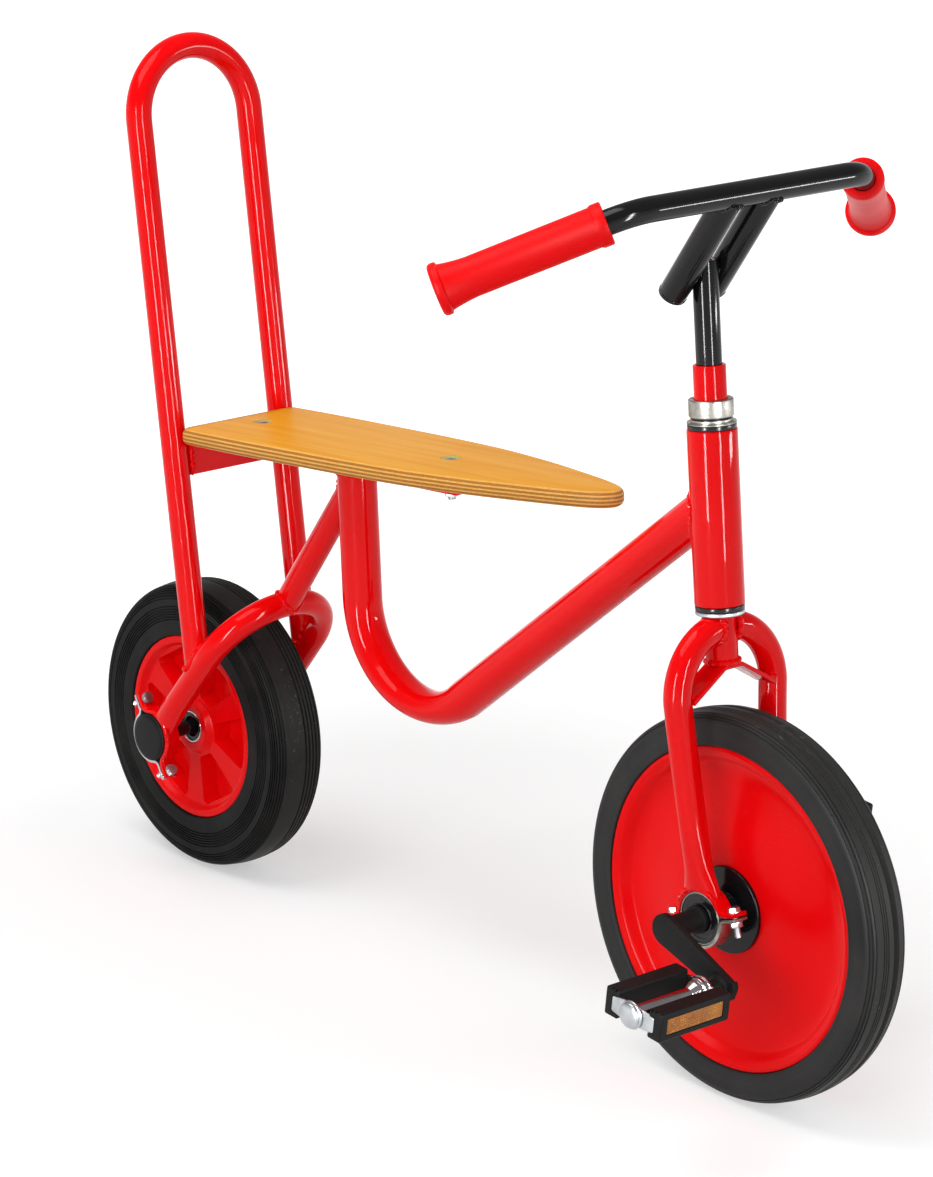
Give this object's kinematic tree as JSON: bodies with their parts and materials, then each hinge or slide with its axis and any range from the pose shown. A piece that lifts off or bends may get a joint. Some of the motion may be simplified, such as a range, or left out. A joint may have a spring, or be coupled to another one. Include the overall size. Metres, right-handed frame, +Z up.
{
  "type": "kids bicycle",
  "caption": "Kids bicycle with bent steel tube frame, plywood seat board, tall tube backrest, solid rubber tyres and pedals that drive the front wheel directly.",
  "frame": {"origin": "on the floor, midway between the tyres' front and rear, on the middle plane", "axes": "+X forwards, +Y to the rider's left, +Z up; steering straight ahead"},
  "size_m": [1.0636, 0.54, 0.8266],
  "materials": {
    "red_paint": "glossy powder coat",
    "black_paint": "semi-gloss powder coat",
    "tyre_rubber": "matt",
    "red_grip": "satin",
    "birch_plywood": "clear satin varnish",
    "zinc": "zinc plated",
    "chrome": "polished",
    "black_plastic": "satin",
    "amber_reflector": "clear amber lens"
  },
  "bodies": {
    "frame": {"main_tube": "red_paint", "head_tube": "red_paint", "seat_stay": "red_paint", "rear_stay": "red_paint", "backrest_loop": "red_paint", "seat_crossbar": "red_paint", "seat_rail": "red_paint", "seat_board": "birch_plywood", "seat_bolt_rear": "zinc", "seat_bolt_front": "zinc", "rear_clamp_strap_right": "zinc", "rear_clamp_strap_left": "zinc", "rear_bush_right": "black_plastic", "rear_bush_left": "black_plastic", "rear_clamp_bolt_right_front": "zinc", "rear_clamp_bolt_right_rear": "zinc", "rear_clamp_bolt_left_front": "zinc", "rear_clamp_bolt_left_rear": "zinc", "rear_axle": "black_paint", "lower_headset_bush": "black_plastic", "upper_headset_bush": "black_plastic"},
    "fork": {"steerer": "red_paint", "fork_leg_right": "red_paint", "fork_leg_left": "red_paint", "fork_brace": "red_paint", "front_clamp_strap_right": "zinc", "front_clamp_strap_left": "zinc", "front_bearing_right": "zinc", "front_bearing_left": "zinc", "front_clamp_bolt_right_front": "zinc", "front_clamp_bolt_right_rear": "zinc", "front_clamp_bolt_left_front": "zinc", "front_clamp_bolt_left_rear": "zinc", "crown_race": "zinc", "upper_race": "zinc", "lock_nut": "zinc", "stem": "black_paint", "stem_bolt": "zinc", "handlebar": "black_paint", "grip_right": "red_grip", "grip_left": "red_grip"},
    "front_wheel": {"front_wheel_disc": "red_paint", "front_tyre": "tyre_rubber", "drive_flange_right": "black_paint", "drive_flange_left": "black_paint", "crankshaft": "black_paint"},
    "rear_wheel_body": {"rear_wheel": "red_paint", "rear_tyre": "tyre_rubber", "rear_hub_bearing_right": "chrome", "rear_hub_bearing_left": "chrome"},
    "pedal_right": {"pedal_cage_right": "chrome", "pedal_block_right_front": "black_plastic", "pedal_block_right_rear": "black_plastic", "pedal_reflector_right_front": "amber_reflector", "pedal_reflector_right_rear": "amber_reflector"},
    "pedal_left": {"pedal_cage_left": "chrome", "pedal_block_left_front": "black_plastic", "pedal_block_left_rear": "black_plastic", "pedal_reflector_left_front": "amber_reflector", "pedal_reflector_left_rear": "amber_reflector"}
  },
  "joints": [
    {"name": "steering", "type": "hinge", "parent": "frame", "child": "fork", "pos_m": [0.34343, 0, 0.17352], "axis": [-0.1097, 0, 0.994], "range_deg": [-90, 90]},
    {"name": "front_wheel_spin", "type": "hinge", "parent": "fork", "child": "front_wheel", "pos_m": [0.35685, 0, 0.175], "axis": [0, 1, 0], "continuous": true},
    {"name": "rear_wheel_spin", "type": "hinge", "parent": "frame", "child": "rear_wheel_body", "pos_m": [-0.38785, 0, 0.144], "axis": [0, 1, 0], "continuous": true},
    {"name": "pedal_right_spin", "type": "hinge", "parent": "front_wheel", "child": "pedal_right", "pos_m": [0.42719, -0.097, 0.14758], "axis": [0, 1, 0], "continuous": true},
    {"name": "pedal_left_spin", "type": "hinge", "parent": "front_wheel", "child": "pedal_left", "pos_m": [0.28651, 0.097, 0.20242], "axis": [0, 1, 0], "continuous": true}
  ]
}
